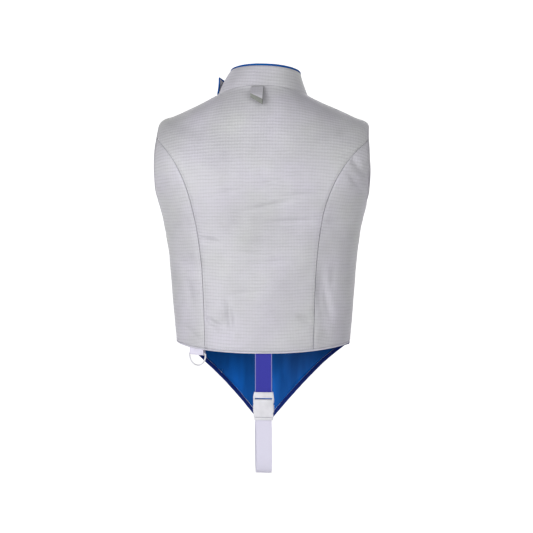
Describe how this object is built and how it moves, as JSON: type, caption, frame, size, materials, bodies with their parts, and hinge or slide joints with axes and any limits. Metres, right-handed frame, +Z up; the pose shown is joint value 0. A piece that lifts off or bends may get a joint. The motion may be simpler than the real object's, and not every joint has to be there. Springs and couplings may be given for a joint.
{
  "type": "foil fencing lame",
  "caption": "Sleeveless metallic over-vest for foil fencing, filled out as worn: stand collar with a side tab, curved back seams, front zip, pointed front flap, buckled strap and D-ring",
  "frame": {"origin": "the middle of the neck at the height where the shoulder lines start, where the wearer's shoulders carry the vest", "axes": "+Z up, the wearer faces -Y, the wearer's left is +X"},
  "size_m": [0.3935, 0.2415, 0.7303],
  "materials": {
    "lame": "woven metallic cloth, soft sheen",
    "blue_binding": "matte folded binding",
    "pale_tape": "matte woven tape",
    "webbing": "matte woven webbing",
    "elastic": "matte ribbed elastic",
    "plastic": "moulded, slightly glossy",
    "zip_metal": "satin nickel"
  },
  "bodies": {
    "garment": {"armhole_edging_left": "lame", "armhole_edging_right": "lame", "back_panel": "lame", "buckle_plug": "plastic", "buckle_socket": "plastic", "collar_back": "lame", "collar_edging_back": "blue_binding", "collar_edging_front": "blue_binding", "collar_front": "lame", "crotch_strap": "webbing", "elastic_band": "elastic", "flap_edging_left": "blue_binding", "flap_edging_right": "blue_binding", "front_left_panel": "lame", "front_panel": "lame", "hem_edging": "pale_tape", "nape_tab": "lame", "ring_tape": "pale_tape", "side_back_left": "lame", "side_back_right": "lame", "zip_chain": "zip_metal", "zip_slider": "zip_metal", "zip_tape": "pale_tape"},
    "d_ring": {"d_ring": "plastic"},
    "zip_pull": {"zip_pull": "zip_metal"}
  },
  "joints": [
    {"name": "d_ring_swing", "type": "hinge", "parent": "garment", "child": "d_ring", "pos_m": [0.11288, 0.0686, -0.46739], "axis": [-0.8561, 0.5168, 0], "range_deg": [-100, 90]},
    {"name": "zip_pull_flip", "type": "hinge", "parent": "garment", "child": "zip_pull", "pos_m": [0.07224, -0.06602, -0.03345], "axis": [-0.9672, -0.2383, -0.0884], "range_deg": [0, 150]}
  ]
}
